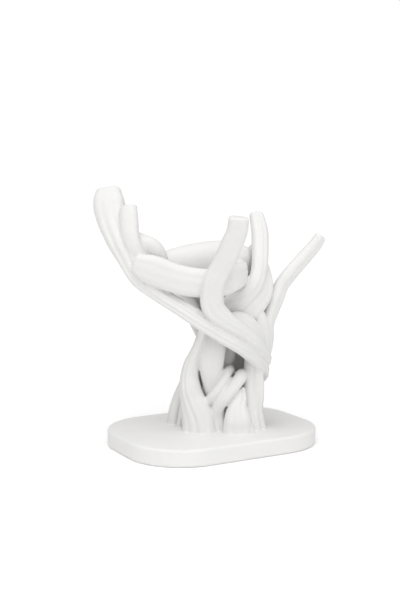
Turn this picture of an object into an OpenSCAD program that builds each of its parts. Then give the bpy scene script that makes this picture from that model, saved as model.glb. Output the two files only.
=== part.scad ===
// Game controller stand: an open hand of twisted vines that rises from a flat oval base plate.
// The whole stand is one moulded piece. Lengths are in millimetres, angles in degrees.
// X runs along the base plate, Y across it from the front to the back, and Z up from the table.

/* [Base plate] */
// Length of the base plate, along X
base_l = 144; // [130:1:180]
// Width of the base plate, along Y
base_w = 108; // [96:1:130]
// Thickness of the base plate
base_t = 12; // [8:0.5:18]
// Radius of the plate's corners, seen from above
base_corner_r = 40; // [30:1:46]
// Rounding of the plate's top edge
base_edge_r = 1.6; // [0.8:0.1:3]

/* [Hand] */
// Height of the hand above the base plate, to the tip of the outer finger
hand_h = 167; // [150:1:195]
// Span of the hand from the outer finger to the rear finger
hand_span = 151.5; // [140:0.5:166]
// Depth of the hand from the centre finger to the back of the trunk
hand_depth = 84; // [78:1:92]
// Turn of the hand on the base plate
hand_turn = -29; // [-45:1:0]

/* [Fingers] */
// Width of the outer finger
outer_finger_w = 22; // [18:0.5:26]
// Thickness of the outer finger
outer_finger_t = 13; // [10:0.5:16]
// Width of the inner finger
inner_finger_w = 13.5; // [11:0.5:16]
// Thickness of the inner finger
inner_finger_t = 9; // [7:0.5:11]
// Width of the centre finger
centre_finger_w = 15; // [12:0.5:18]
// Thickness of the centre finger
centre_finger_t = 11; // [9:0.5:14]
// Width of the rear fingers
rear_finger_w = 13; // [10:0.5:16]
// Thickness of the rear fingers
rear_finger_t = 10; // [8:0.5:12]
// Rounding of the outer finger's tip
outer_tip_r = 4; // [2:0.5:5]
// Rounding of the other fingers' tips
tip_edge_r = 1.8; // [1:0.1:3]

/* [Cradle] */
// Width of the band across the front of the palm
band_w = 20; // [16:0.5:24]
// Thickness of the band
band_t = 10; // [8:0.5:12]
// Height of the palm pad at its middle
palm_w = 31; // [26:1:36]
// Thickness of the palm pad
palm_t = 21; // [16:1:26]
// Rounding of the palm pad's two ends
palm_end_r = 5; // [3:0.5:6]
// Rounding of the band's free end
band_end_r = 2.5; // [1:0.5:3]

/* [Trunk] */
// Width of the thick vines of the trunk
trunk_vine_w = 16; // [13:0.5:19]
// Thickness of the thick vines of the trunk
trunk_vine_t = 11; // [9:0.5:14]
// Width of the thin vines that cross the front of the trunk
cross_vine_w = 10; // [8:0.5:12]
// Thickness of the thin vines
cross_vine_t = 8.5; // [7:0.5:10]
// Width of a root where it meets the plate
root_w = 19; // [15:0.5:23]
// Radius of the small toes at the ends of the roots
toe_r = 2.6; // [2:0.1:3.5]
// Radius of a toe's top
toe_top_r = 1.8; // [1:0.1:2.5]

/* [Hidden] */

// Rings between two stations of a vine, and sides of its section
ring_steps = 2;
vine_sides = 10;
// Power of a section's outline: 2 is an ellipse, more is squarer
round_power = 2.1;
flat_power = 2.7;
// How far the feet of the vines reach down into the plate
foot_depth = 3;
// Facets of the plate's corners, of its rounded edge and of the toes
corner_facets = 48;
edge_facets = 12;
toe_facets = 7;
// Angles of the rings in a vine's rounded end
end_angles = [30, 60, 90];

// Each vine is a list of stations: [x, y, z, width share, thickness share, facing].
// x runs to the right, y to the back and z up from the plate's top, and facing is the side
// that the flat of the vine looks to: 0 is the front, -90 the left and 90 the right.
outer_finger = [
    [-73.5, -1, 167, 0.78, 0.8, -10], [-73, -4, 160, 0.95, 0.95, -10], [-70, -10, 149, 0.95, 1, -10],
    [-64, -18, 135, 0.84, 1, -12], [-58, -22, 123, 0.7, 0.95, -15], [-50, -25, 108, 0.52, 0.85, -15],
    [-36, -28, 97, 0.42, 0.8, -10], [-21, -30, 87.5, 0.42, 0.8, -5], [-7, -31, 78.5, 0.45, 0.8, 0],
    [8, -30, 69, 0.46, 0.8, 10], [22, -23, 59.5, 0.46, 0.8, 30], [33, -9, 48, 0.5, 0.85, 70],
    [36, 9, 37, 0.5, 0.8, 100], [28, 23, 28, 0.5, 0.8, 140], [12, 30, 22, 0.5, 0.8, 175],
    [-6, 27, 16, 0.5, 0.8, 200]
];
inner_finger = [
    [-56, -18, 157, 0.9, 0.85, -20], [-57, -21, 148, 0.98, 0.95, -20], [-56, -24, 138, 0.95, 1, -20],
    [-53, -25, 129, 0.85, 1, -15], [-47, -23, 119, 0.75, 1, -10], [-39, -24, 106, 0.6, 0.9, -5],
    [-30, -27, 97, 0.5, 0.8, -5], [-19, -28, 90, 0.55, 0.85, -5], [-8.5, -29, 83.5, 0.6, 0.9, 0],
    [2, -29, 78, 0.6, 0.9, 0], [11, -25, 72.5, 0.55, 0.8, 5]
];
centre_finger = [
    [17.5, -50, 149, 0.9, 0.8, 0], [16.5, -48, 142, 0.93, 0.9, 0], [13, -46, 134, 0.97, 0.9, 0],
    [9, -43, 125, 0.98, 1, 0], [4.5, -40, 116, 1, 1, 0], [1, -38, 108, 1.03, 1.1, 0],
    [-0.5, -36, 99, 1.05, 1.1, 0], [0.5, -34.5, 90, 1.05, 1.05, 0], [8, -32, 82, 0.86, 1, 5],
    [18, -27.5, 74.5, 0.7, 1, 20], [28, -20, 65.5, 0.62, 0.95, 40], [35, -9, 56, 0.58, 0.9, 65],
    [38, 4, 48, 0.6, 0.9, 95], [34, 17, 42, 0.6, 0.85, 130], [20, 28, 40, 0.6, 0.85, 165],
    [4, 29, 36, 0.6, 0.8, 185], [-10, 22, 30, 0.55, 0.8, 215]
];
knuckle_loop = [
    [-54, -17, 136, 0.78, 0.9, 0], [-48, -19, 133, 0.9, 1, 0], [-41, -19, 129, 1, 1, 0],
    [-37, -18, 121, 1, 1, 0], [-37, -15, 112, 0.92, 1, 0], [-28, -8, 98, 0.92, 1.1, 0]
];
front_band = [
    [-51, -29, 119, 0.7, 0.95, -20], [-46, -31, 117, 0.92, 1, -15], [-38, -32, 114.5, 1, 1, -10],
    [-27, -32, 110, 1, 1, -5], [-15, -31, 107, 1, 1, 5], [-3, -29.5, 106, 0.98, 1, 10],
    [6, -29.5, 106.5, 0.94, 1, 10], [13.5, -28, 109, 0.88, 1, 25], [19, -20, 111, 0.84, 0.95, 65],
    [20, -6, 112, 0.75, 0.9, 90], [15, 12, 109, 0.65, 0.9, 125]
];
palm_pad = [
    [-44, -9, 109, 0.66, 0.65, -10], [-26, -5, 113, 0.98, 0.95, 0], [-4, -1, 116, 1.08, 1.1, 0],
    [14, 6, 117, 1, 1, 10], [28, 12, 115, 0.7, 0.7, 30]
];
rear_finger_inner = [
    [32, 18, 151, 0.8, 0.8, 10], [34, 10, 140, 0.95, 0.9, 10], [34, 3, 129, 0.95, 1, 10],
    [33.5, -3, 118, 0.92, 1, 10], [32, -6, 109, 0.92, 1.05, 12], [28, -9, 101, 1.06, 1.05, 12],
    [22, -11, 94.5, 1.2, 1.05, 10], [15, -11, 89, 1.3, 1, 5], [8, -9, 84, 1.2, 1, 5]
];
rear_finger_middle = [
    [30, 16, 129, 0.6, 0.8, 30], [35, 10, 118, 0.7, 0.85, 35], [38, 3, 107, 0.8, 0.9, 35],
    [38, -1, 98, 0.9, 0.9, 30], [34, -6, 91, 0.95, 0.9, 25], [28, -9, 85, 0.9, 0.9, 20],
    [21, -10, 79, 0.85, 0.9, 10]
];
rear_finger_outer = [
    [78, 16, 135, 0.7, 0.8, 40], [74, 15, 129, 0.8, 0.85, 40], [66, 13, 120, 0.85, 0.9, 40],
    [57, 10, 110, 0.88, 0.9, 40], [50, 7, 101, 0.9, 0.9, 40], [46, 3, 92, 0.9, 0.9, 40],
    [42, 1, 83, 0.88, 0.9, 45], [39.5, 0, 74, 0.85, 0.9, 55], [39.5, 0, 64, 0.8, 0.9, 65],
    [38, 2, 53, 0.75, 0.9, 80], [34, 8, 42, 0.7, 0.9, 90]
];
shoulder_vine = [
    [3, -18, 72, 0.9, 1, -5], [10, -19, 75, 1, 1, 0], [17, -20, 77.5, 1, 1, 5],
    [23, -18, 75, 1, 1, 15], [28, -14, 69, 1, 1, 30], [31, -9, 60, 1, 1, 45],
    [32, -3, 50, 0.9, 0.9, 55]
];
left_trunk_vine = [
    [-5, -18, 78, 0.42, 0.8, -20], [-7, -17, 70, 0.42, 0.8, -20], [-10, -16, 61, 0.42, 0.85, -25],
    [-12.5, -14, 54, 0.5, 0.95, -30], [-15, -13, 47, 0.64, 1.05, -35], [-16, -12, 38, 0.82, 1.2, -35],
    [-15.5, -13, 30, 0.98, 1.3, -35], [-14, -13, 23, 1.14, 1.35, -30], [-12, -14, 16, 1.3, 1.4, -25],
    [-10, -15, 8, 1.45, 1.45, -15], [-9, -16, -1, 1.6, 1.5, -10]
];
inner_trunk_vine = [
    [8, -12, 80, 0.75, 0.9, 0], [4, -15, 69, 0.9, 0.9, -5], [1, -15, 59, 1.08, 0.95, -5],
    [-0.5, -15, 49, 1.08, 1, 0], [-1, -13, 40, 1, 1, 0], [0, -11, 31, 0.88, 0.95, 0],
    [2, -9, 22, 0.8, 0.9, 0], [0, -5, 10, 0.9, 0.9, 0], [-3, -3, -1, 0.9, 0.9, 0]
];
upper_hook = [
    [11, 8, 36, 0.65, 0.85, 0], [12.5, -4, 41, 0.68, 0.85, 0], [11.5, -13, 42.5, 0.68, 0.9, -5],
    [7.5, -18, 35.5, 0.64, 0.9, -10], [1.5, -19, 27.5, 0.64, 0.9, -10], [-3, -16, 21, 0.64, 0.85, -10],
    [-7, -10, 15, 0.66, 0.85, -10]
];
lower_hook = [
    [20, 8, 34, 0.8, 0.9, 0], [22, -5, 38, 0.86, 0.95, 5], [20.5, -15, 39.5, 0.88, 0.95, 0],
    [16, -19, 34, 0.84, 0.95, -5], [9.5, -20.5, 26, 0.84, 0.95, -5], [4.5, -19, 18, 0.9, 0.95, -5],
    [3, -16, 11, 1, 0.95, 0], [4, -15, 4, 1.1, 1, 0], [5, -15, -1, 1.2, 1, 0]
];
right_front_vine = [
    [28, -5, 60, 0.8, 0.9, 10], [29, -7, 50, 0.8, 0.95, 15], [29.5, -8, 40, 0.8, 0.95, 15],
    [29, -9, 28, 0.85, 0.95, 15], [28, -11, 16, 0.9, 0.95, 20], [27, -13, 6, 1, 1, 20],
    [26.5, -15, -1, 1.1, 1.1, 20]
];
right_side_vine = [
    [31, -4, 52, 0.8, 1, 30], [31.5, -8, 42, 0.95, 1.05, 30], [32, -9, 32, 1, 1.05, 30],
    [32, -9, 23, 1, 1.05, 30], [31, -9, 14, 1, 1.05, 30], [32, -9, 6, 1.1, 1.1, 30],
    [32, -9, -1, 1.25, 1.2, 30]
];
knot_vine = [
    [23, -2, 98, 0.7, 0.85, 10], [28, -5, 91, 0.75, 0.85, 10], [32, -7.5, 83, 0.9, 0.9, 15],
    [35, -7.5, 76, 0.9, 0.9, 25], [37, -5, 67, 0.85, 0.9, 40], [37.5, -2, 57, 0.8, 0.9, 60]
];
front_root = [
    [21.5, -15, 31, 0.16, 0.4, 0], [20, -18, 25, 0.46, 0.7, 0], [18, -20, 19, 0.66, 0.85, 0],
    [17.5, -21, 15, 0.85, 0.9, 0], [17.5, -22, 9, 1, 1, 0], [17.5, -22, 3, 1.05, 1, 0],
    [17.5, -23, -1, 1.1, 1.05, 0]
];
left_back_vine = [
    [-24, -2, 100, 0.8, 1, -70], [-16, 1, 88, 0.88, 1, -80], [-10, 3, 75, 0.9, 1.1, -90],
    [-5.5, 4, 64, 0.9, 1.1, -90], [-8, 5, 54, 0.9, 1.1, -90], [-12, 6, 43, 0.9, 1.2, -90],
    [-16, 8, 32, 0.95, 1.2, -90], [-22, 10, 18, 1, 1.2, -90], [-26, 11, 6, 1.1, 1.1, -90],
    [-27, 12, -1, 1.2, 1.1, -90]
];
back_left_vine = [
    [-20, -2, 110, 0.9, 1.1, -150], [-15, 8, 98, 1, 1.1, -155], [-6, 15, 86, 1, 1.1, -160],
    [1, 19, 74, 1.05, 1.1, -160], [-3, 20, 54, 1.15, 1.1, -155], [-8, 22, 38, 1.2, 1.2, -150],
    [-11, 24, 24, 1.2, 1.2, -150], [-15, 27, 8, 1.2, 1.2, -150], [-16, 28, -1, 1.3, 1.2, -150]
];
back_vine = [
    [-2, 2, 114, 1, 1.1, 180], [2, 12, 104, 1.1, 1.1, 180], [9, 20, 92, 1.1, 1.1, 180],
    [14, 24, 78, 1.15, 1.1, 175], [14, 26, 54, 1.25, 1.1, 180], [10, 28, 38, 1.3, 1.1, 180],
    [7, 30, 22, 1.3, 1.2, 180], [4, 33, 8, 1.3, 1.2, 180], [4, 34, -1, 1.4, 1.2, 180]
];
back_right_vine = [
    [20, 7, 112, 1, 1.1, 155], [26, 14, 100, 1.1, 1.1, 150], [31, 16, 88, 1.1, 1.1, 145],
    [33, 14, 74, 1.2, 1.1, 135], [29, 17, 54, 1.35, 1.1, 140], [27, 20, 36, 1.35, 1.15, 140],
    [29, 20, 20, 1.25, 1.2, 135], [30, 20, 8, 1.2, 1.2, 130], [30, 21, -1, 1.3, 1.2, 130]
];
inner_strand = [
    [15, 0, 65, 0.8, 0.9, 0], [13.5, 1, 56, 0.8, 0.9, 0], [11.5, 2, 48, 0.8, 0.9, 0],
    [6, 4, 38, 1.1, 0.9, 0], [1, 6, 26, 1.6, 1, 0], [-2, 6, 12, 1.8, 1, 0], [-3, 6, -1, 1.8, 1, 0]
];

// Toes of the roots: [x, y, z] of the top of each toe and of its end on the plate
root_toes = [
    [[-25, 9, 21], [-30, 13, 1]], [[-23, 4, 19], [-27, 6, 1]], [[-19, -8, 27], [-23, -3, 1]],
    [[-20, -10, 18], [-19, -9, 0]], [[-17, -13, 16], [-14, -17, 0]], [[-8, -18, 14], [-3, -22, 0]],
    [[22, -19, 14], [24, -22, 0]], [[30, -14, 12], [32, -15, 0]], [[34, -8, 12], [36, -10, 0]],
    [[32, -4, 18], [36, 1, 0]], [[30, 22, 18], [34, 26, 0]], [[-20, 20, 18], [-24, 24, 0]]
];

function stations_of() = concat(outer_finger, centre_finger, rear_finger_outer, back_vine);
route_h = max([for (p = stations_of()) p[2]]);
route_left = min([for (p = stations_of()) p[0]]);
route_right = max([for (p = stations_of()) p[0]]);
route_front = min([for (p = stations_of()) p[1]]);
route_back = max([for (p = stations_of()) p[1]]);

// Place of a station on the stand, from the hand's own height, span and depth
function place(p) = [
    p[0] * hand_span / (route_right - route_left),
    p[1] * hand_depth / (route_back - route_front),
    p[2] > 0 ? base_t + p[2] * hand_h / route_h : base_t + p[2] * foot_depth
];

// A smooth curve through the stations
function curve_at(a, b, c, d, t) = 0.5 * (
    2 * b + (c - a) * t + (2 * a - 5 * b + 4 * c - d) * t * t + (3 * b - a - 3 * c + d) * t * t * t
);
function station(s, i) =
    i < 0 ? 2 * s[0] - s[1] : i >= len(s) ? 2 * s[len(s) - 1] - s[len(s) - 2] : s[i];
function smooth_route(s) = [
    for (i = [0 : len(s) - 2])
        for (k = [0 : ring_steps - 1])
            curve_at(station(s, i - 1), s[i], s[i + 1], station(s, i + 2), k / ring_steps),
    s[len(s) - 1]
];

function unit(v) = v / norm(v);
function power_of(v, power) = sign(v) * pow(abs(v), 2 / power);

// One ring of a vine: centre, direction of travel, width, thickness, the side it faces and its power
function ring(centre, ahead, w, t, facing, power) =
    let (
        side = unit(cross(ahead, [sin(facing), -cos(facing), 0])),
        out = cross(side, ahead)
    )
    [for (k = [0 : vine_sides - 1])
        let (a = 360 * k / vine_sides)
        centre + side * power_of(cos(a), power) * w / 2 + out * power_of(sin(a), power) * t / 2];

// Ring of a rounded end, a degrees round an edge of radius r; turn is 1 at the first end
function end_ring(p, outward, r, a, turn, power) =
    let (
        inset = 2 * r * (1 - cos(a)),
        centre = [p[0], p[1], p[2]] + outward * r * sin(a)
    )
    ring(centre, -turn * outward, p[3] - inset, p[4] - inset, p[5], power);

// Skin over a list of rings, closed at both ends
module skin(rings) {
    n = vine_sides;
    last = len(rings) - 1;
    polyhedron(
        points = [for (r = rings) each r],
        faces = concat(
            [[for (k = [n - 1 : -1 : 0]) k]],
            [for (i = [0 : last - 1]) for (k = [0 : n - 1])
                let (j = (k + 1) % n)
                [i * n + k, i * n + j, (i + 1) * n + j, (i + 1) * n + k]],
            [[for (k = [0 : n - 1]) last * n + k]]
        ),
        convexity = 8
    );
}

// A vine of the given full width and thickness, with its first and last end rounded
module vine(stations, w, t, power, tip_r = 0, tail_r = 0) {
    route = smooth_route([for (p = stations) concat(place(p), [p[3] * w, p[4] * t, p[5]])]);
    last = len(route) - 1;
    spot = [for (p = route) [p[0], p[1], p[2]]];
    way = [for (i = [0 : last]) unit(spot[min(i + 1, last)] - spot[max(i - 1, 0)])];
    tip = [for (i = [len(end_angles) - 1 : -1 : 0]) if (tip_r > 0)
        end_ring(route[0], -way[0], tip_r, end_angles[i], 1, power)];
    tail = [for (a = end_angles) if (tail_r > 0)
        end_ring(route[last], way[last], tail_r, a, -1, power)];
    body = [for (i = [0 : last]) ring(spot[i], way[i], route[i][3], route[i][4], route[i][5], power)];
    skin(concat(tip, body, tail));
}

module base_plate() {
    hull()
        for (sx = [-1, 1], sy = [-1, 1])
            translate([sx * (base_l / 2 - base_corner_r), sy * (base_w / 2 - base_corner_r), 0])
                rotate_extrude($fn = corner_facets)
                    union() {
                        square([base_corner_r - base_edge_r, base_t]);
                        square([base_corner_r, base_t - base_edge_r]);
                        translate([base_corner_r - base_edge_r, base_t - base_edge_r])
                            circle(base_edge_r, $fn = edge_facets);
                    }
}

module fingers() {
    vine(outer_finger, outer_finger_w, outer_finger_t, flat_power, outer_tip_r);
    vine(inner_finger, inner_finger_w, inner_finger_t, flat_power, tip_edge_r);
    vine(centre_finger, centre_finger_w, centre_finger_t, flat_power, tip_edge_r);
    vine(rear_finger_inner, rear_finger_w, rear_finger_t, round_power, tip_edge_r);
    vine(rear_finger_middle, rear_finger_w, rear_finger_t, round_power);
    vine(rear_finger_outer, rear_finger_w, rear_finger_t, round_power, tip_edge_r);
}

module cradle() {
    vine(knuckle_loop, rear_finger_w, rear_finger_t, round_power);
    vine(front_band, band_w, band_t, flat_power, band_end_r);
    vine(palm_pad, palm_w, palm_t, round_power, palm_end_r, palm_end_r);
}

module trunk() {
    vine(shoulder_vine, trunk_vine_w, trunk_vine_t, round_power);
    vine(left_trunk_vine, trunk_vine_w, trunk_vine_t, round_power);
    vine(inner_trunk_vine, trunk_vine_w, trunk_vine_t, round_power);
    vine(left_back_vine, trunk_vine_w, trunk_vine_t, round_power);
    vine(back_left_vine, trunk_vine_w, trunk_vine_t, round_power);
    vine(back_vine, trunk_vine_w, trunk_vine_t, round_power);
    vine(back_right_vine, trunk_vine_w, trunk_vine_t, round_power);
    vine(upper_hook, cross_vine_w, cross_vine_t, round_power);
    vine(lower_hook, cross_vine_w, cross_vine_t, round_power);
    vine(right_front_vine, cross_vine_w, cross_vine_t, round_power);
    vine(right_side_vine, cross_vine_w, cross_vine_t, round_power);
    vine(knot_vine, cross_vine_w, cross_vine_t, round_power);
    vine(inner_strand, cross_vine_w, cross_vine_t, round_power);
    vine(front_root, root_w, trunk_vine_t, round_power);
}

module toes() {
    for (toe = root_toes)
        hull() {
            translate(place(toe[0]))
                sphere(toe_top_r, $fn = toe_facets);
            translate(place(toe[1]))
                sphere(toe_r, $fn = toe_facets);
        }
}

module stand() {
    color("whitesmoke") {
        base_plate();
        rotate([0, 0, hand_turn]) {
            fingers();
            cradle();
            trunk();
            toes();
        }
    }
}

stand();
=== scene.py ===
import math

import bmesh
import bpy
from mathutils import Euler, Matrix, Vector


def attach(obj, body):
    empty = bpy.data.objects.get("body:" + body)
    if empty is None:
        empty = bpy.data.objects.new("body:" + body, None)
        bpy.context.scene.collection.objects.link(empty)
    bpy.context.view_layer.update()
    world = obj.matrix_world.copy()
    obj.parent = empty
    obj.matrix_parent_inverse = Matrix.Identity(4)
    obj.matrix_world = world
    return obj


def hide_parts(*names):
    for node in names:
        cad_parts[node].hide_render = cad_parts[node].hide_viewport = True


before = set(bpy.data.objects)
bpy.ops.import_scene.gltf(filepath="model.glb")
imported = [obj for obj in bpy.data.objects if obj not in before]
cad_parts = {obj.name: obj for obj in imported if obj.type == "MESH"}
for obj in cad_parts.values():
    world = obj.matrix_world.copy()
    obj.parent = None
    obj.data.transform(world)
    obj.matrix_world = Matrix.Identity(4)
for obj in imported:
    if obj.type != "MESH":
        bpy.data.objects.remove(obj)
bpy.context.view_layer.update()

MM = 0.001

# The stand is photographed from a little above, from the front and left of its base plate.
# The camera keeps that place; its picture is 400 x 600.
view_turn = math.radians(-29.07)
view_drop = math.radians(6.52)
eye_right = -8.6 * MM
eye_back = -705.2 * MM
eye_height = 183.8 * MM
picture_height_px = 600
focal_px = 1000
camera = bpy.data.objects.new("camera", bpy.data.cameras.new("camera"))
bpy.context.collection.objects.link(camera)
camera.location = (
    math.cos(view_turn) * eye_right - math.sin(view_turn) * eye_back,
    math.sin(view_turn) * eye_right + math.cos(view_turn) * eye_back,
    eye_height,
)
camera.rotation_euler = (math.radians(90) - view_drop, 0, view_turn)
camera.data.sensor_fit = "VERTICAL"
camera.data.sensor_height = 36
camera.data.lens = camera.data.sensor_height * focal_px / picture_height_px
bpy.context.scene.camera = camera


# Base plate: a flat slab with large round corners, a softly rounded top edge and a small rounding
# at its foot, under which it throws a thin line of shadow.
# It is moulded in one with the trunk, in a matte white plastic that is very slightly warm,
# with a faint mottle of tone and a fine pebbled surface.
plate_length = 144 * MM
plate_width = 108 * MM
plate_height = 12 * MM
plate_corner = 40 * MM
plate_edge = 1.6 * MM
plate_foot_edge = 2.0 * MM
plate_corner_steps = 24
plate_edge_steps = 6
plastic_dark = (0.765, 0.760, 0.748, 1)
plastic_light = (0.800, 0.796, 0.785, 1)
plastic_roughness = (0.5, 0.6)
plastic_gloss = 0.3
mottle_scale = 55
wave_scale = 220
wave_height = 0.25 * MM
pebble_scale = 1400
pebble_height = 0.03 * MM


def add_node(tree, kind, inputs=(), **settings):
    """A node with its settings and inputs, which are values or other nodes' outputs."""
    made = tree.nodes.new(kind)
    for name, value in settings.items():
        setattr(made, name, value)
    for name, value in dict(inputs).items():
        if isinstance(value, bpy.types.NodeSocket):
            tree.links.new(value, made.inputs[name])
        else:
            made.inputs[name].default_value = value
    return made


def plastic_finish():
    """Matte white plastic: a faint mottle in colour and gloss, with slight waves and fine pebbling as bump."""
    material = bpy.data.materials.new("matte_white_plastic")
    material.use_nodes = True
    tree = material.node_tree
    tree.nodes.clear()
    place = add_node(tree, "ShaderNodeTexCoord").outputs["Object"]
    mottle = add_node(tree, "ShaderNodeTexNoise", {"Vector": place, "Scale": mottle_scale, "Detail": 3.0})
    tone = add_node(tree, "ShaderNodeMix", {"Factor": mottle.outputs["Fac"]}, data_type="RGBA")
    tone.inputs[6].default_value = plastic_dark
    tone.inputs[7].default_value = plastic_light
    low, high = plastic_roughness
    gloss = add_node(tree, "ShaderNodeMapRange", {"Value": mottle.outputs["Fac"], "To Min": low, "To Max": high})
    pebble = add_node(tree, "ShaderNodeTexNoise", {"Vector": place, "Scale": pebble_scale, "Detail": 2.0})
    wave = add_node(tree, "ShaderNodeTexNoise", {"Vector": place, "Scale": wave_scale, "Detail": 2.0})
    waviness = add_node(tree, "ShaderNodeBump", {"Height": wave.outputs["Fac"], "Strength": 1.0,
                                                 "Distance": wave_height})
    bump = add_node(tree, "ShaderNodeBump", {"Height": pebble.outputs["Fac"], "Strength": 1.0,
                                             "Distance": pebble_height, "Normal": waviness.outputs["Normal"]})
    shader = add_node(tree, "ShaderNodeBsdfPrincipled", {
        "Base Color": tone.outputs[2], "Roughness": gloss.outputs["Result"],
        "Normal": bump.outputs["Normal"], "Specular IOR Level": plastic_gloss,
    })
    exit_node = add_node(tree, "ShaderNodeOutputMaterial", {"Surface": shader.outputs["BSDF"]})
    exit_node.is_active_output = True
    return material


def plate_ring(inset, height):
    """Corner points of the plate's outline, moved in from its edge."""
    ring = []
    for sx, sy, start in ((1, 1, 0), (-1, 1, 90), (-1, -1, 180), (1, -1, 270)):
        centre = Vector((sx * (plate_length / 2 - plate_corner), sy * (plate_width / 2 - plate_corner), height))
        for step in range(plate_corner_steps + 1):
            angle = math.radians(start + 90 * step / plate_corner_steps)
            ring.append(centre + (plate_corner - inset) * Vector((math.cos(angle), math.sin(angle), 0)))
    return ring


def plate_form():
    """Closed mesh of the plate, in one loop of faces with a face at each end."""
    rings = []
    for step in range(plate_edge_steps + 1):
        angle = math.radians(90 * step / plate_edge_steps)
        rings.append(plate_ring(plate_foot_edge * (1 - math.sin(angle)), plate_foot_edge * (1 - math.cos(angle))))
    for step in range(plate_edge_steps + 1):
        angle = math.radians(90 * step / plate_edge_steps)
        inset = plate_edge * (1 - math.cos(angle))
        rings.append(plate_ring(inset, plate_height - plate_edge * (1 - math.sin(angle))))
    form = bmesh.new()
    loops = [[form.verts.new(point) for point in ring] for ring in rings]
    count = len(loops[0])
    form.faces.new(reversed(loops[0]))
    for low, high in zip(loops, loops[1:]):
        for k in range(count):
            form.faces.new((low[k], low[(k + 1) % count], high[(k + 1) % count], high[k]))
    form.faces.new(loops[-1])
    mesh = bpy.data.meshes.new("plate_form")
    form.to_mesh(mesh)
    form.free()
    return mesh


plastic = plastic_finish()
forms = [plate_form()]


# Trunk: thick vines that stand in a ring on the plate and lean to the right as they rise,
# with thin vines crossing in front of a hollow. All are moulded in one with the plate.
# A vine is a list of stations: x, y, z in millimetres in the hand's own frame, with z from the
# plate's top, then its share of the full width and thickness, and the side that its flat faces.
hand_turn = math.radians(-29)
foot_sink = 3 * MM
vine_ring_gap = 1.0 * MM
vine_sides = 48
round_power = 2.1
flat_power = 2.7
furrow_roundness = 0.6
smooth = (1, 0, 0)
hidden_ends = (0, 0)
smallest_end = 0.01 * MM
trunk_vine = (16 * MM, 11 * MM)
thin_vine = (10 * MM, 8.5 * MM)

shoulder_vine = [
    (3, -18, 72, 0.9, 1, -5), (10, -19, 75, 1, 1, 0), (17, -20, 77.5, 1, 1, 5),
    (23, -18, 75, 1, 1, 15), (28, -14, 69, 1, 1, 30), (31, -9, 60, 1, 1, 45),
    (32, -3, 50, 0.9, 0.9, 55),
]
left_trunk_vine = [
    (-5, -26, 80, 0.42, 0.8, -20), (-7, -18, 70, 0.42, 0.8, -20), (-10, -16, 61, 0.42, 0.85, -25),
    (-12.5, -14, 54, 0.5, 0.95, -30), (-15, -13, 47, 0.64, 1.05, -35), (-16, -12, 38, 0.82, 1.2, -35),
    (-15.5, -13, 30, 0.98, 1.3, -35), (-14, -13, 23, 1.14, 1.35, -30), (-12, -14, 16, 1.3, 1.4, -25),
    (-10, -15, 8, 1.45, 1.45, -15), (-9, -16, -1, 1.6, 1.5, -10),
]
inner_trunk_vine = [
    (8, -12, 80, 0.75, 0.9, 0), (4, -15, 69, 0.9, 0.9, -5), (1, -15, 59, 1.08, 0.95, -5),
    (-0.5, -15, 49, 1.08, 1, 0), (-0.5, -13, 40, 0.97, 1, 0), (0.5, -11, 31, 0.83, 0.95, 0),
    (2, -9, 22, 0.8, 0.9, 0), (0, -5, 10, 0.9, 0.9, 0), (-3, -3, -1, 0.9, 0.9, 0),
]
upper_hook = [
    (11, 8, 36, 0.65, 0.85, 0), (12.5, -4, 41, 0.68, 0.85, 0), (11.5, -13, 42.5, 0.68, 0.9, -5),
    (7.5, -18, 35.5, 0.64, 0.9, -10), (1.5, -18.5, 27.5, 0.64, 0.9, -10), (-3, -14, 21, 0.64, 0.85, -10),
    (-7, -10, 15, 0.66, 0.85, -10),
]
lower_hook = [
    (20, 8, 34, 0.8, 0.9, 0), (20.6, -6, 38.5, 0.86, 0.95, 0), (20.2, -16, 39.5, 0.9, 0.95, 0),
    (16, -19.5, 34, 0.86, 0.95, -5), (9.5, -20.5, 26, 0.84, 0.95, -5), (4.5, -17.5, 18, 0.9, 0.95, -5),
    (4, -14.8, 11, 1, 0.95, 0), (5.5, -14.4, 4, 1.1, 1, 0), (6.5, -14.4, -1, 1.2, 1, 0),
]
right_front_vine = [
    (28, -5, 60, 0.8, 0.9, 10), (28.4, -7, 50, 0.8, 0.95, 15), (28.4, -8.5, 40, 0.85, 0.95, 12),
    (28, -9.5, 28, 0.9, 0.95, 12), (27.6, -11, 16, 0.9, 0.95, 20), (27, -13, 6, 0.95, 1, 20),
    (26.5, -15, -1, 1.1, 1.1, 20),
]
right_side_vine = [
    (31, -4, 52, 0.8, 1, 30), (31.5, -8, 42, 0.95, 1.05, 30), (32, -9, 32, 1, 1.05, 30),
    (32, -9, 23, 1, 1.05, 30), (31, -9, 14, 1, 1.05, 30), (32, -9, 6, 1.1, 1.1, 30),
    (32, -9, -1, 1.25, 1.2, 30),
]
knot_vine = [
    (23, -2, 98, 0.7, 0.85, 10), (28, -5, 91, 0.75, 0.85, 10), (32, -7.5, 83, 0.9, 0.9, 15),
    (35, -7.5, 76, 0.9, 0.9, 25), (37, -5, 67, 0.85, 0.9, 40), (37.5, -2, 57, 0.8, 0.9, 60),
]
inner_strand = [
    (15, 0, 65, 0.8, 0.9, 0), (13.5, 1, 56, 0.8, 0.9, 0), (11.5, 2, 48, 0.8, 0.9, 0),
    (6, 4, 38, 1.1, 0.9, 0), (1, 6, 26, 1.6, 1, 0), (-2, 6, 12, 1.8, 1, 0), (-3, 6, -1, 1.8, 1, 0),
]
left_back_vine = [
    (-27, -3, 107, 0.8, 1, -70), (-16, 1, 88, 0.88, 1, -80), (-10, 3, 75, 0.9, 1.1, -90),
    (-5.5, 4, 64, 0.9, 1.1, -90), (-8, 5, 54, 0.9, 1.1, -90), (-12, 6, 43, 0.9, 1.2, -90),
    (-16, 8, 32, 0.95, 1.2, -90), (-22, 10, 18, 1, 1.2, -90), (-26, 11, 6, 1.1, 1.1, -90),
    (-27, 12, -1, 1.2, 1.1, -90),
]
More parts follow.
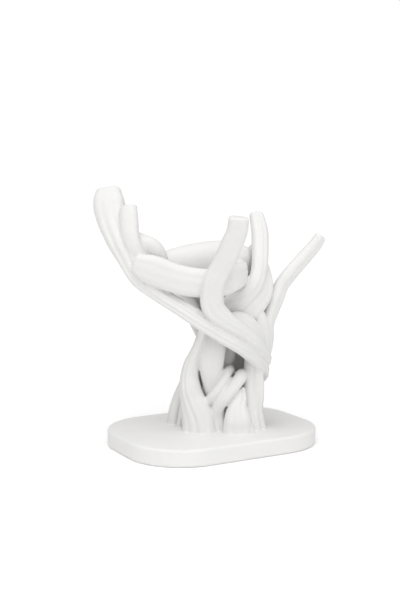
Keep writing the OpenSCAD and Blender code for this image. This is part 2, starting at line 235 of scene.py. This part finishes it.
back_left_vine = [
    (-20, -2, 110, 0.9, 1.1, -150), (-15, 8, 98, 1, 1.1, -155), (-6, 15, 86, 1, 1.1, -160),
    (1, 19, 74, 1.05, 1.1, -160), (-3, 20, 54, 1.15, 1.1, -155), (-8, 22, 38, 1.2, 1.2, -150),
    (-11, 24, 24, 1.2, 1.2, -150), (-15, 27, 8, 1.2, 1.2, -150), (-16, 28, -1, 1.3, 1.2, -150),
]
back_vine = [
    (-2, 2, 114, 1, 1.1, 180), (2, 12, 104, 1.1, 1.1, 180), (9, 20, 92, 1.1, 1.1, 180),
    (14, 24, 78, 1.15, 1.1, 175), (14, 26, 54, 1.25, 1.1, 180), (10, 28, 38, 1.3, 1.1, 180),
    (7, 30, 22, 1.3, 1.2, 180), (4, 33, 8, 1.3, 1.2, 180), (4, 34, -1, 1.4, 1.2, 180),
]
back_right_vine = [
    (20, 7, 112, 1, 1.1, 155), (26, 14, 100, 1.1, 1.1, 150), (31, 16, 88, 1.1, 1.1, 145),
    (33, 14, 74, 1.2, 1.1, 135), (29, 17, 54, 1.35, 1.1, 140), (27, 20, 36, 1.35, 1.15, 140),
    (29, 20, 20, 1.25, 1.2, 135), (30, 20, 8, 1.2, 1.2, 130), (30, 21, -1, 1.3, 1.2, 130),
]


def vine_tree():
    """Geometry nodes that sweep a section of changing width and thickness along lines of stations."""
    tree = bpy.data.node_groups.new("swept_vine", "GeometryNodeTree")
    for name, kind, value in (
        ("Geometry", "NodeSocketGeometry", None), ("Ring Gap", "NodeSocketFloat", vine_ring_gap),
        ("Sides", "NodeSocketInt", vine_sides), ("Furrow Roundness", "NodeSocketFloat", furrow_roundness),
        ("Finish", "NodeSocketMaterial", None),
    ):
        socket = tree.interface.new_socket(name, in_out="INPUT", socket_type=kind)
        if value is not None:
            socket.default_value = value
    tree.interface.new_socket("Geometry", in_out="OUTPUT", socket_type="NodeSocketGeometry")

    def maths(operation, *values):
        return add_node(tree, "ShaderNodeMath", enumerate(values), operation=operation).outputs[0]

    def vectors(operation, *values):
        return add_node(tree, "ShaderNodeVectorMath", enumerate(values), operation=operation).outputs[0]

    def scaled(vector, factor):
        return add_node(tree, "ShaderNodeVectorMath", {0: vector, "Scale": factor}, operation="SCALE").outputs[0]

    def read(name, kind="FLOAT"):
        made = add_node(tree, "GeometryNodeInputNamedAttribute", {"Name": name}, data_type=kind)
        return made.outputs["Attribute"]

    def store(geometry, name, value, kind="FLOAT"):
        made = add_node(tree, "GeometryNodeStoreNamedAttribute",
                        {"Geometry": geometry, "Name": name}, data_type=kind, domain="POINT")
        tree.links.new(value, made.inputs["Value"])
        return made.outputs["Geometry"]

    def point():
        return add_node(tree, "GeometryNodeInputPosition").outputs[0]

    entry = add_node(tree, "NodeGroupInput").outputs
    line = add_node(tree, "GeometryNodeMeshToCurve", {"Mesh": entry["Geometry"]}).outputs["Curve"]
    line = add_node(tree, "GeometryNodeCurveSplineType", {"Curve": line}, spline_type="CATMULL_ROM").outputs[0]
    line = add_node(tree, "GeometryNodeResampleCurve", {"Curve": line, "Length": entry["Ring Gap"]},
                    mode="LENGTH").outputs[0]
    gone = add_node(tree, "GeometryNodeSplineParameter").outputs["Length"]
    whole = add_node(tree, "GeometryNodeSplineLength").outputs["Length"]
    line = store(line, "gone", gone)
    line = store(line, "left", maths("SUBTRACT", whole, gone))
    line = store(line, "centre", point(), "FLOAT_VECTOR")
    line = store(line, "travel", add_node(tree, "GeometryNodeInputTangent").outputs[0], "FLOAT_VECTOR")
    circle = add_node(tree, "GeometryNodeCurvePrimitiveCircle",
                      {"Resolution": entry["Sides"], "Radius": 1.0}).outputs["Curve"]
    circle = store(circle, "across", point(), "FLOAT_VECTOR")
    skin = add_node(tree, "GeometryNodeCurveToMesh",
                    {"Curve": line, "Profile Curve": circle, "Fill Caps": True}).outputs[0]

    travel = read("travel", "FLOAT_VECTOR")
    facing = read("facing")
    flat = add_node(tree, "ShaderNodeCombineXYZ", {
        "X": maths("SINE", facing), "Y": maths("MULTIPLY", maths("COSINE", facing), -1.0),
    }).outputs[0]
    side = vectors("NORMALIZE", vectors("CROSS_PRODUCT", travel, flat))
    out = vectors("CROSS_PRODUCT", side, travel)
    across = add_node(tree, "ShaderNodeSeparateXYZ", {"Vector": read("across", "FLOAT_VECTOR")}).outputs
    power = maths("DIVIDE", 2.0, read("power"))

    def squared(value):
        return maths("MULTIPLY", maths("SIGN", value), maths("POWER", maths("ABSOLUTE", value), power))

    def end_inset(distance, radius):
        """How far the section draws in near a rounded end."""
        rest = maths("MAXIMUM", maths("SUBTRACT", 1.0, maths("DIVIDE", distance, radius)), 0.0)
        arc = maths("SQRT", maths("MAXIMUM", maths("SUBTRACT", 1.0, maths("MULTIPLY", rest, rest)), 0.0))
        return maths("MULTIPLY", radius, maths("SUBTRACT", 1.0, arc))

    wide = squared(across["X"])
    deep = squared(across["Y"])
    inset = maths("ADD", end_inset(read("gone"), read("tip")), end_inset(read("left"), read("tail")))
    half_width = maths("SUBTRACT", maths("MULTIPLY", read("width"), 0.5), inset)
    half_thick = maths("SUBTRACT", maths("MULTIPLY", read("thickness"), 0.5), inset)
    turn = maths("MULTIPLY", maths("ADD", wide, 1.0), maths("MULTIPLY", read("strands"), math.pi / 2))
    swell = maths("POWER", maths("ABSOLUTE", maths("SINE", turn)), entry["Furrow Roundness"])
    onset = add_node(tree, "ShaderNodeMapRange", {
        "Value": read("gone"), "From Max": read("onset"),
    }).outputs["Result"]
    furrow = maths("MULTIPLY", maths("MULTIPLY", read("furrow"), onset), maths("SUBTRACT", 1.0, swell))
    depth = maths("MULTIPLY", deep, maths("SUBTRACT", half_thick, furrow))
    spot = vectors("ADD", scaled(side, maths("MULTIPLY", wide, half_width)), scaled(out, depth))
    spot = vectors("ADD", read("centre", "FLOAT_VECTOR"), spot)
    skin = add_node(tree, "GeometryNodeSetPosition", {"Geometry": skin, "Position": spot}).outputs[0]
    skin = add_node(tree, "GeometryNodeRealizeInstances", {"Geometry": skin}).outputs[0]
    skin = add_node(tree, "GeometryNodeSetMaterial", {"Geometry": skin, "Material": entry["Finish"]}).outputs[0]
    add_node(tree, "NodeGroupOutput", {"Geometry": skin})
    return tree


swept_vine = vine_tree()


def place_station(x, y, z):
    """A station's place in the stand's own frame. A station under the plate's top is a foot."""
    spot = Vector((x * MM, y * MM, plate_height + z * (MM if z > 0 else foot_sink)))
    spot.rotate(Euler((0, 0, hand_turn)))
    return spot


def vine_lines(name, vines):
    """Lines of stations for the sweep. A vine is its stations, its full width and thickness, the power of
    its section, its furrows (strands, depth and the length over which they set in) and the rounding of its two ends."""
    lines = bmesh.new()
    fields = ("width", "thickness", "facing", "power", "strands", "furrow", "onset", "tip", "tail")
    layers = {field: lines.verts.layers.float.new(field) for field in fields}
    for stations, (width, thickness), power, (strands, furrow, onset), (tip, tail) in vines:
        spots = [place_station(*station[:3]) for station in stations]
        shares = [station[3:] for station in stations]
        if tip:
            spots.insert(0, spots[0] + (spots[0] - spots[1]).normalized() * tip)
            shares.insert(0, shares[0])
        if tail:
            spots.append(spots[-1] + (spots[-1] - spots[-2]).normalized() * tail)
            shares.append(shares[-1])
        before = None
        for spot, (wide, thick, facing) in zip(spots, shares):
            station = lines.verts.new(spot)
            values = (width * wide, thickness * thick, math.radians(facing) + hand_turn,
                      power, strands, furrow, max(onset, smallest_end),
                      max(tip, smallest_end), max(tail, smallest_end))
            for field, value in zip(fields, values):
                station[layers[field]] = value
            if before:
                lines.edges.new((before, station))
            before = station
    mesh = bpy.data.meshes.new(name)
    lines.to_mesh(mesh)
    lines.free()
    return mesh


def sweep_vines(name, vines):
    """Closed skins of a group of vines, as one plain mesh."""
    piece = bpy.data.objects.new(name, vine_lines(name, vines))
    bpy.context.collection.objects.link(piece)
    sweep = piece.modifiers.new("sweep", "NODES")
    sweep.node_group = swept_vine
    for socket in swept_vine.interface.items_tree:
        if socket.name == "Finish":
            sweep[socket.identifier] = plastic
    graph = bpy.context.evaluated_depsgraph_get()
    mesh = bpy.data.meshes.new_from_object(piece.evaluated_get(graph))
    bpy.data.objects.remove(piece)
    return mesh


forms.append(sweep_vines("trunk_vines", [
    (shoulder_vine, trunk_vine, round_power, (3, 0.8 * MM, 0), hidden_ends),
    (left_trunk_vine, trunk_vine, round_power, (4, 1.0 * MM, 0), hidden_ends),
    (inner_trunk_vine, trunk_vine, round_power, (2, 0.8 * MM, 0), hidden_ends),
    (left_back_vine, trunk_vine, round_power, (3, 0.8 * MM, 0), hidden_ends),
    (back_left_vine, trunk_vine, round_power, (3, 0.8 * MM, 0), hidden_ends),
    (back_vine, trunk_vine, round_power, (3, 0.8 * MM, 0), hidden_ends),
    (back_right_vine, trunk_vine, round_power, (3, 0.8 * MM, 0), hidden_ends),
    (upper_hook, thin_vine, round_power, smooth, hidden_ends),
    (lower_hook, thin_vine, round_power, smooth, hidden_ends),
    (right_front_vine, (15 * MM, 9 * MM), round_power, (2, 0.5 * MM, 0), hidden_ends),
    (right_side_vine, thin_vine, round_power, (2, 0.8 * MM, 0), hidden_ends),
    (knot_vine, thin_vine, round_power, smooth, hidden_ends),
    (inner_strand, thin_vine, round_power, smooth, hidden_ends),
]))


# Roots: the trunk's vines spread where they meet the plate, into a flared root at the front
# and a ring of small toes. They run into the plate without a seam.
front_root = [
    (21.5, -15, 31, 0.16, 0.4, 0), (20, -18, 25, 0.46, 0.7, 0), (18, -20, 19, 0.66, 0.85, 0),
    (17.5, -21, 15, 0.85, 0.9, 0), (17.5, -22, 9, 1, 1, 0), (17.5, -22, 3, 1.05, 1, 0),
    (17.5, -23, -1, 1.1, 1.05, 0),
]
root_toes = [
    ((-25, 9, 21), (-30, 13, 1)), ((-23, 4, 19), (-27, 6, 1)), ((-19, -8, 27), (-23, -3, 1)),
    ((-20, -10, 18), (-19, -9, 0)), ((-17, -13, 16), (-14, -17, 0)), ((-8, -18, 14), (-3, -22, 0)),
    ((23.5, -18.5, 17), (27, -22, 0)), ((30, -14, 12), (32, -15, 0)), ((34, -8, 12), (36, -10, 0)),
    ((32, -4, 18), (36, 1, 0)), ((30, 22, 18), (34, 26, 0)), ((-20, 20, 18), (-24, 24, 0)),
]
root_section = (19 * MM, 11 * MM)
toe_radius = 2.6 * MM
toe_top_share = 0.7
toe_section = (2 * toe_radius, 2 * toe_radius)
toe_vines = [
    ([(*top, toe_top_share, toe_top_share, 0), (*end, 1, 1, 0)], toe_section, round_power, smooth,
     (toe_top_share * toe_radius, toe_radius))
    for top, end in root_toes
]
forms.append(sweep_vines("root_vines", [
    (front_root, root_section, round_power, (3, 1.5 * MM, 0), hidden_ends), *toe_vines,
]))


# Cradle: a thick pad as the palm, a wide band that wraps round its front,
# and the loop of a vine above the band. They are moulded in one with the fingers and the trunk.
palm_pad = [
    (-44, -9, 109, 0.66, 0.65, -10), (-26, -5, 113, 0.98, 0.95, 0), (-4, -1, 116, 1.08, 1.1, 0),
    (14, 6, 117, 1, 1, 10), (28, 12, 115, 0.7, 0.7, 30),
]
front_band = [
    (-51, -29, 119, 0.7, 0.95, -20), (-46, -31, 117, 0.92, 1, -15), (-38, -32, 114.5, 1, 1, -10),
    (-27, -32, 110, 1, 1, -5), (-15, -31, 107, 1, 1, 5), (-3, -29.5, 106, 0.98, 1, 10),
    (6, -29.5, 106.5, 0.94, 1, 10), (13.5, -28, 109, 0.88, 1, 25), (19, -20, 111, 0.84, 0.95, 65),
    (20, -6, 112, 0.75, 0.9, 90), (15, 12, 109, 0.65, 0.9, 125),
]
knuckle_loop = [
    (-54, -17, 136, 0.78, 0.9, 0), (-48, -19, 133, 0.9, 1, 0), (-41, -19, 129, 1, 1, 0),
    (-37, -18, 121, 1, 1, 0), (-37, -15, 113, 0.92, 1, 0), (-27, -7, 108, 0.8, 0.9, 0),
]
palm_end_radius = 5 * MM
band_end_radius = 2.5 * MM
forms.append(sweep_vines("cradle_vines", [
    (palm_pad, (31 * MM, 21 * MM), round_power, smooth, (palm_end_radius, palm_end_radius)),
    (front_band, (20 * MM, 10 * MM), flat_power, (3, 0.6 * MM, 0), (band_end_radius, 0)),
    (knuckle_loop, (13 * MM, 10 * MM), round_power, smooth, hidden_ends),
]))


# Fingers: vines that rise from the cradle to cut, softly edged tips. The outer and the centre finger
# carry on below the cradle as the two strands that cross the trunk and wrap round its back.
outer_finger = [
    (-72.7, -1.5, 166.9, 0.84, 0.8, -10), (-72.2, -4.5, 160, 1.01, 0.95, -10), (-69.6, -10, 149, 0.98, 1, -10),
    (-64, -18, 135, 0.84, 1, -12), (-58, -22, 123, 0.7, 0.95, -15), (-50, -25, 108, 0.52, 0.85, -15),
    (-36, -28, 97, 0.42, 0.8, -10), (-21, -30, 87.5, 0.42, 0.8, -5), (-7, -31, 78.5, 0.45, 0.8, 0),
    (8, -30, 69, 0.46, 0.8, 10), (22, -23, 59.5, 0.46, 0.8, 30), (33, -9, 48, 0.5, 0.85, 70),
    (36, 9, 37, 0.5, 0.8, 100), (28, 23, 28, 0.5, 0.8, 140), (12, 30, 22, 0.5, 0.8, 175),
    (-6, 27, 16, 0.5, 0.8, 200),
]
inner_finger = [
    (-57.8, -18, 157, 0.94, 0.85, -20), (-57.2, -21, 148, 1, 0.95, -20), (-56, -24, 138, 0.95, 1, -20),
    (-53, -25, 129, 0.85, 1, -15), (-47, -23, 119, 0.75, 1, -10), (-39, -24, 106, 0.6, 0.9, -5),
    (-30, -27, 97, 0.5, 0.8, -5), (-19, -28, 90, 0.55, 0.85, -5), (-8.5, -29, 83.5, 0.6, 0.9, 0),
    (2, -29, 78, 0.6, 0.9, 0), (11, -25, 72.5, 0.55, 0.8, 5),
]
centre_finger = [
    (16.7, -50, 150.4, 0.9, 0.8, 0), (15.8, -48, 142.5, 0.93, 0.9, 0), (12.6, -46, 134, 0.97, 0.9, 0),
    (9, -43, 125, 0.98, 1, 0), (4.5, -40, 116, 1, 1, 0), (1, -38, 108, 1.03, 1.1, 0),
    (-0.5, -36, 99, 1.05, 1.1, 0), (0.5, -34.5, 90, 1.05, 1.05, 0), (8, -32, 82, 0.86, 1, 5),
    (18, -27.5, 74.5, 0.7, 1, 20), (28, -20, 65.5, 0.62, 0.95, 40), (35, -9, 56, 0.58, 0.9, 65),
    (38, 4, 48, 0.6, 0.9, 95), (34, 17, 42, 0.6, 0.85, 130), (20, 28, 40, 0.6, 0.85, 165),
    (4, 29, 36, 0.6, 0.8, 185), (-10, 22, 30, 0.55, 0.8, 215),
]
rear_finger_inner = [
    (32, 18, 151, 0.8, 0.8, 10), (34, 10, 140, 0.95, 0.9, 10), (34, 3, 129, 0.95, 1, 10),
    (33.5, -3, 118, 0.92, 1, 10), (32, -6, 109, 0.92, 1.05, 12), (28, -9, 101, 1.06, 1.05, 12),
    (22, -11, 94.5, 1.2, 1.05, 10), (15, -11, 89, 1.3, 1, 5), (8, -9, 84, 1.2, 1, 5),
]
rear_finger_middle = [
    (30, 16, 129, 0.6, 0.8, 30), (34.5, 9.5, 118, 0.72, 0.85, 30), (37.2, 2, 107, 0.86, 0.85, 28),
    (37.2, -2, 98, 0.95, 0.85, 28), (33.4, -6.8, 91, 1, 0.85, 25), (28, -9.4, 85, 0.92, 0.9, 18),
    (21, -10, 79, 0.85, 0.9, 10),
]
rear_finger_outer = [
    (78, 16, 135, 0.7, 0.8, 40), (74, 15, 129, 0.8, 0.85, 40), (66, 13, 120, 0.85, 0.9, 40),
    (57, 10, 110, 0.88, 0.9, 40), (50, 8.5, 101, 0.9, 0.9, 40), (46.3, 5, 92, 0.9, 0.9, 40),
    (42.5, 2.5, 83, 0.88, 0.9, 45), (39.5, 0, 74, 0.85, 0.9, 55), (39.5, 0, 64, 0.8, 0.9, 65),
    (38, 2, 53, 0.75, 0.9, 80), (34, 8, 42, 0.7, 0.9, 90),
]
outer_tip_radius = 3.9 * MM
furrow_onset = 50 * MM
finger_tip_radius = 1.2 * MM
rear_finger = (13 * MM, 10 * MM)
forms.append(sweep_vines("finger_vines", [
    (outer_finger, (22 * MM, 13 * MM), flat_power, (3, 1.9 * MM, furrow_onset), (outer_tip_radius, 0)),
    (inner_finger, (13.5 * MM, 9 * MM), flat_power, (1, 1.2 * MM, 0), (finger_tip_radius, 0)),
    (centre_finger, (15 * MM, 11 * MM), flat_power, (3, 1.4 * MM, furrow_onset), (finger_tip_radius, 0)),
    (rear_finger_inner, rear_finger, round_power, (3, 1.2 * MM, 0), (finger_tip_radius, 0)),
    (rear_finger_middle, rear_finger, flat_power, (2, 0.5 * MM, 0), hidden_ends),
    (rear_finger_outer, rear_finger, round_power, (2, 0.6 * MM, 0), (finger_tip_radius, 0)),
]))


# The whole stand comes out of the mould as one piece: plate, trunk, roots, cradle and fingers
# run into each other with soft creases.
grain = 0.6 * MM
crease_softness = 0.5
crease_passes = 1
most_triangles = 190000


def made_plain(piece):
    """The piece with its modifiers worked into its mesh."""
    graph = bpy.context.evaluated_depsgraph_get()
    mesh = bpy.data.meshes.new_from_object(piece.evaluated_get(graph))
    piece.modifiers.clear()
    piece.data = mesh
    return mesh


def drop_specks(mesh):
    """Only the largest closed skin of the mesh is kept."""
    skin = bmesh.new()
    skin.from_mesh(mesh)
    waiting = set(skin.verts)
    islands = []
    while waiting:
        island = [waiting.pop()]
        for corner in island:
            for edge in corner.link_edges:
                beside = edge.other_vert(corner)
                if beside in waiting:
                    waiting.remove(beside)
                    island.append(beside)
        islands.append(island)
    islands.sort(key=len)
    for speck in islands[:-1]:
        bmesh.ops.delete(skin, geom=speck, context="VERTS")
    skin.to_mesh(mesh)
    skin.free()


moulding = bmesh.new()
for form in forms:
    moulding.from_mesh(form)
moulding_mesh = bpy.data.meshes.new("stand_moulding")
moulding.to_mesh(moulding_mesh)
moulding.free()
stand = bpy.data.objects.new("stand_moulding", moulding_mesh)
bpy.context.collection.objects.link(stand)
fuse = stand.modifiers.new("fuse", "REMESH")
fuse.mode = "VOXEL"
fuse.voxel_size = grain
soften = stand.modifiers.new("soften", "SMOOTH")
soften.factor = crease_softness
soften.iterations = crease_passes
fused = made_plain(stand)
thin = stand.modifiers.new("thin", "DECIMATE")
thin.ratio = min(1, most_triangles / (2 * len(fused.polygons)))
skin_mesh = made_plain(stand)
drop_specks(skin_mesh)
skin_mesh.materials.clear()
skin_mesh.materials.append(plastic)
skin_mesh.shade_smooth()
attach(stand, "root")
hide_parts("stand")


# Studio: a plain white floor of paper that glows a little, as lit paper does, with a white sky behind it.
# The sky gives weak light from all round, a wide overhead light comes from the left and the front,
# and a large soft lamp fills in from the front.
floor_size = 12
floor_colour = (0.9, 0.9, 0.9, 1)
floor_glow = 0.1
sky_light = 0.42
sky_brightness = 1.0
overhead_place = (-0.6, -0.8, 2.4)
overhead_strength = 2.15
overhead_spread = math.radians(70)
fill_place = (-0.2, -1.3, 0.35)
fill_size = 0.9
fill_energy = 1.9
lamp_target = Vector((0, 0, 0.09))
bpy.ops.mesh.primitive_plane_add(size=floor_size)
floor = bpy.context.active_object
floor.name = "floor"
floor_paper = bpy.data.materials.new("white_floor")
floor_paper.use_nodes = True
floor_shader = floor_paper.node_tree.nodes["Principled BSDF"]
floor_shader.inputs["Base Color"].default_value = floor_colour
floor_shader.inputs["Roughness"].default_value = 0.9
floor_shader.inputs["Specular IOR Level"].default_value = 0.0
floor_shader.inputs["Emission Color"].default_value = (1, 1, 1, 1)
floor_shader.inputs["Emission Strength"].default_value = floor_glow
floor.data.materials.append(floor_paper)

sky = bpy.data.worlds.new("white_sky")
sky.use_nodes = True
sky_nodes = sky.node_tree.nodes
seen = add_node(sky.node_tree, "ShaderNodeLightPath").outputs["Is Camera Ray"]
strength = add_node(sky.node_tree, "ShaderNodeMapRange", {"Value": seen, "To Min": sky_light, "To Max": sky_brightness})
sky_nodes["Background"].inputs["Color"].default_value = (1, 1, 1, 1)
sky.node_tree.links.new(strength.outputs["Result"], sky_nodes["Background"].inputs["Strength"])
bpy.context.scene.world = sky
bpy.context.scene.view_settings.view_transform = "Standard"

overhead = bpy.data.lights.new("overhead_light", "SUN")
overhead.energy = overhead_strength
overhead.angle = overhead_spread
fill = bpy.data.lights.new("fill_light", "AREA")
fill.energy = fill_energy
fill.size = fill_size
for lamp, place in ((overhead, overhead_place), (fill, fill_place)):
    light = bpy.data.objects.new(lamp.name, lamp)
    bpy.context.collection.objects.link(light)
    light.location = place
    light.rotation_euler = (lamp_target - Vector(place)).to_track_quat("-Z", "Y").to_euler()
